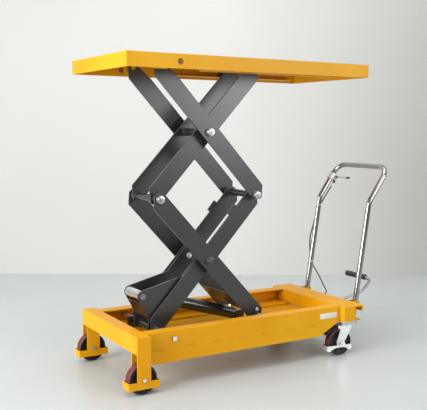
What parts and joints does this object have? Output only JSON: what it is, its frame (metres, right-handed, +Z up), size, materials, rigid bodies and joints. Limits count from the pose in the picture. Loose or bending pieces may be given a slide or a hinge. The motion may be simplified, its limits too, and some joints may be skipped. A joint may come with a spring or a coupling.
{
  "type": "scissor lift table",
  "caption": "Mobile hydraulic scissor lift table: flat platform on a stacked double scissor, rectangular wheeled bed, push handle, foot pump pedal and lowering lever.",
  "frame": {"origin": "on the floor, under the middle of the table's overall length and width", "axes": "+X towards the push handle, +Y towards the table's right side seen by the operator at the handle facing the platform, +Z up"},
  "size_m": [1.468, 0.632, 1.379],
  "materials": {
    "yellow_paint": "semi-gloss powder coat",
    "arm_paint": "satin anthracite coat",
    "steel_pin": "blackened steel",
    "zinc": "bright zinc plate",
    "chrome": "chrome plate",
    "dark_roller": "black oxide",
    "polyurethane": "maroon polyurethane tread on a black core",
    "black_rubber": "matte",
    "label_film": "plain film"
  },
  "bodies": {
    "bed": {"side_rail_left": "yellow_paint", "side_rail_right": "yellow_paint", "skirt_plate_left": "yellow_paint", "skirt_plate_right": "yellow_paint", "front_cross_beam": "yellow_paint", "rear_cross_beam": "yellow_paint", "tray_floor": "yellow_paint", "front_wheel_bracket_left": "yellow_paint", "front_wheel_bracket_right": "yellow_paint", "front_axle_bolts": "zinc", "lower_pivot_brackets": "arm_paint", "lower_pivot_pins": "steel_pin", "cylinder_base_bracket": "arm_paint", "pump_and_tank": "arm_paint", "hydraulic_hose": "black_rubber", "handle_bow": "chrome", "handle_bolts": "zinc", "release_clamp": "dark_roller", "release_cable": "black_rubber", "blank_label": "label_film", "castor_top_plates": "zinc"},
    "lower_inner": {"lower_inner_arm_left": "arm_paint", "lower_inner_arm_right": "arm_paint", "lower_inner_cross_tubes": "arm_paint", "lower_inner_shafts": "steel_pin", "lever_plate_left": "arm_paint", "lever_plate_right": "arm_paint", "lever_wrap_plate": "arm_paint"},
    "lower_outer": {"lower_outer_arm_left": "arm_paint", "lower_outer_arm_right": "arm_paint", "lower_outer_tie_plate": "arm_paint", "lower_roller_axles": "steel_pin"},
    "upper_inner": {"upper_inner_arm_left": "arm_paint", "upper_inner_arm_right": "arm_paint", "upper_inner_cross_tubes": "arm_paint", "upper_inner_shafts": "steel_pin"},
    "upper_outer": {"upper_outer_arm_left": "arm_paint", "upper_outer_arm_right": "arm_paint"},
    "platform": {"platform_deck": "yellow_paint", "platform_roller_rails": "yellow_paint", "upper_pivot_brackets": "yellow_paint"},
    "lower_roller_l": {"lower_roller_left": "dark_roller"},
    "lower_roller_r": {"lower_roller_right": "dark_roller"},
    "upper_roller_l": {"upper_roller_left": "dark_roller"},
    "upper_roller_r": {"upper_roller_right": "dark_roller"},
    "rod": {"piston_rod": "chrome"},
    "barrel": {"cylinder_barrel": "arm_paint"},
    "pedal": {"foot_pedal_lever": "arm_paint", "foot_pedal_grip": "black_rubber"},
    "plunger": {"pump_plunger": "zinc"},
    "lowering_lever": {"release_lever": "dark_roller"},
    "front_wheel_l": {"front_wheel_left": "polyurethane"},
    "front_wheel_r": {"front_wheel_right": "polyurethane"},
    "castor_l": {"castor_fork_left": "zinc"},
    "castor_r": {"castor_fork_right": "zinc"},
    "castor_wheel_l": {"castor_wheel_left": "polyurethane"},
    "castor_wheel_r": {"castor_wheel_right": "polyurethane"},
    "castor_brake_l": {"castor_brake_left": "dark_roller"},
    "castor_brake_r": {"castor_brake_right": "dark_roller"}
  },
  "joints": [
    {"name": "lift", "type": "hinge", "parent": "bed", "child": "lower_inner", "pos_m": [-0.5089, 0, 0.204], "axis": [0, 1, 0], "range_deg": [0, 41.7]},
    {"name": "lower_cross_pivot", "type": "hinge", "parent": "lower_inner", "child": "lower_outer", "pos_m": [-0.26521, 0, 0.49034], "axis": [0, 1, 0], "range_deg": [-83.8, 0.4]},
    {"name": "middle_pivot", "type": "hinge", "parent": "lower_outer", "child": "upper_inner", "pos_m": [-0.5089, 0, 0.77668], "axis": [0, 1, 0], "range_deg": [-0.4, 83.8]},
    {"name": "upper_cross_pivot", "type": "hinge", "parent": "upper_inner", "child": "upper_outer", "pos_m": [-0.26521, 0, 1.06302], "axis": [0, 1, 0], "range_deg": [-83.8, 0.4]},
    {"name": "platform_pivot", "type": "hinge", "parent": "upper_outer", "child": "platform", "pos_m": [-0.5089, 0, 1.34935], "axis": [0, 1, 0], "range_deg": [-0.4, 42.1]},
    {"name": "lower_roller_spin_l", "type": "hinge", "parent": "lower_outer", "child": "lower_roller_l", "pos_m": [-0.02151, -0.1765, 0.204], "axis": [0, 1, 0], "continuous": true},
    {"name": "upper_roller_spin_l", "type": "hinge", "parent": "upper_inner", "child": "upper_roller_l", "pos_m": [-0.02151, -0.17, 1.34935], "axis": [0, 1, 0], "continuous": true},
    {"name": "lower_roller_spin_r", "type": "hinge", "parent": "lower_outer", "child": "lower_roller_r", "pos_m": [-0.02151, 0.1765, 0.204], "axis": [0, 1, 0], "continuous": true},
    {"name": "upper_roller_spin_r", "type": "hinge", "parent": "upper_inner", "child": "upper_roller_r", "pos_m": [-0.02151, 0.17, 1.34935], "axis": [0, 1, 0], "continuous": true},
    {"name": "rod_eye", "type": "hinge", "parent": "lower_inner", "child": "rod", "pos_m": [-0.56351, 0, 0.35198], "axis": [0, 1, 0], "range_deg": [-37.58, 0.5]},
    {"name": "cylinder_stroke", "type": "slide", "parent": "rod", "child": "barrel", "axis": [-0.9604, 0, 0.2786], "range_m": [-0.001, 0.1059]},
    {"name": "pedal_pivot", "type": "hinge", "parent": "bed", "child": "pedal", "pos_m": [0.4305, 0, 0.182], "axis": [0, 1, 0], "range_deg": [0, 22]},
    {"name": "plunger_stroke", "type": "slide", "parent": "bed", "child": "plunger", "axis": [0, 0, 1], "range_m": [-0.013, 0.0005]},
    {"name": "lowering_lever_pivot", "type": "hinge", "parent": "bed", "child": "lowering_lever", "pos_m": [0.69904, 0.2, 0.80692], "axis": [0, 1, 0], "range_deg": [-20, 0]},
    {"name": "front_wheel_spin_l", "type": "hinge", "parent": "bed", "child": "front_wheel_l", "pos_m": [-0.666, -0.28, 0.0625], "axis": [0, 1, 0], "continuous": true},
    {"name": "front_wheel_spin_r", "type": "hinge", "parent": "bed", "child": "front_wheel_r", "pos_m": [-0.666, 0.28, 0.0625], "axis": [0, 1, 0], "continuous": true},
    {"name": "castor_swivel_l", "type": "hinge", "parent": "bed", "child": "castor_l", "pos_m": [0.4205, -0.254, 0.15], "axis": [0, 0, 1], "continuous": true},
    {"name": "castor_wheel_spin_l", "type": "hinge", "parent": "castor_l", "child": "castor_wheel_l", "pos_m": [0.37575, -0.2493, 0.0625], "axis": [0.1045, 0.9945, 0], "continuous": true},
    {"name": "castor_brake_tread_l", "type": "hinge", "parent": "castor_l", "child": "castor_brake_l", "pos_m": [0.36779, -0.24846, 0.138], "axis": [0.1045, 0.9945, 0], "range_deg": [-8, 0]},
    {"name": "castor_swivel_r", "type": "hinge", "parent": "bed", "child": "castor_r", "pos_m": [0.4205, 0.254, 0.15], "axis": [0, 0, 1], "continuous": true},
    {"name": "castor_wheel_spin_r", "type": "hinge", "parent": "castor_r", "child": "castor_wheel_r", "pos_m": [0.37567, 0.25008, 0.0625], "axis": [-0.0872, 0.9962, 0], "continuous": true},
    {"name": "castor_brake_tread_r", "type": "hinge", "parent": "castor_r", "child": "castor_brake_r", "pos_m": [0.3677, 0.24938, 0.138], "axis": [-0.0872, 0.9962, 0], "range_deg": [-8, 0]}
  ],
  "couplings": [
    {"joint": "lower_cross_pivot", "follows": "lift", "ratio": -2},
    {"joint": "middle_pivot", "follows": "lift", "ratio": 2},
    {"joint": "upper_cross_pivot", "follows": "lift", "ratio": -2},
    {"joint": "platform_pivot", "follows": "lift", "ratio": 1},
    {"joint": "rod_eye", "follows": "lift", "ratio": -0.8892},
    {"joint": "cylinder_stroke", "follows": "lift", "m_per_rad": 0.1442},
    {"joint": "plunger_stroke", "follows": "pedal_pivot", "m_per_rad": -0.0325}
  ]
}
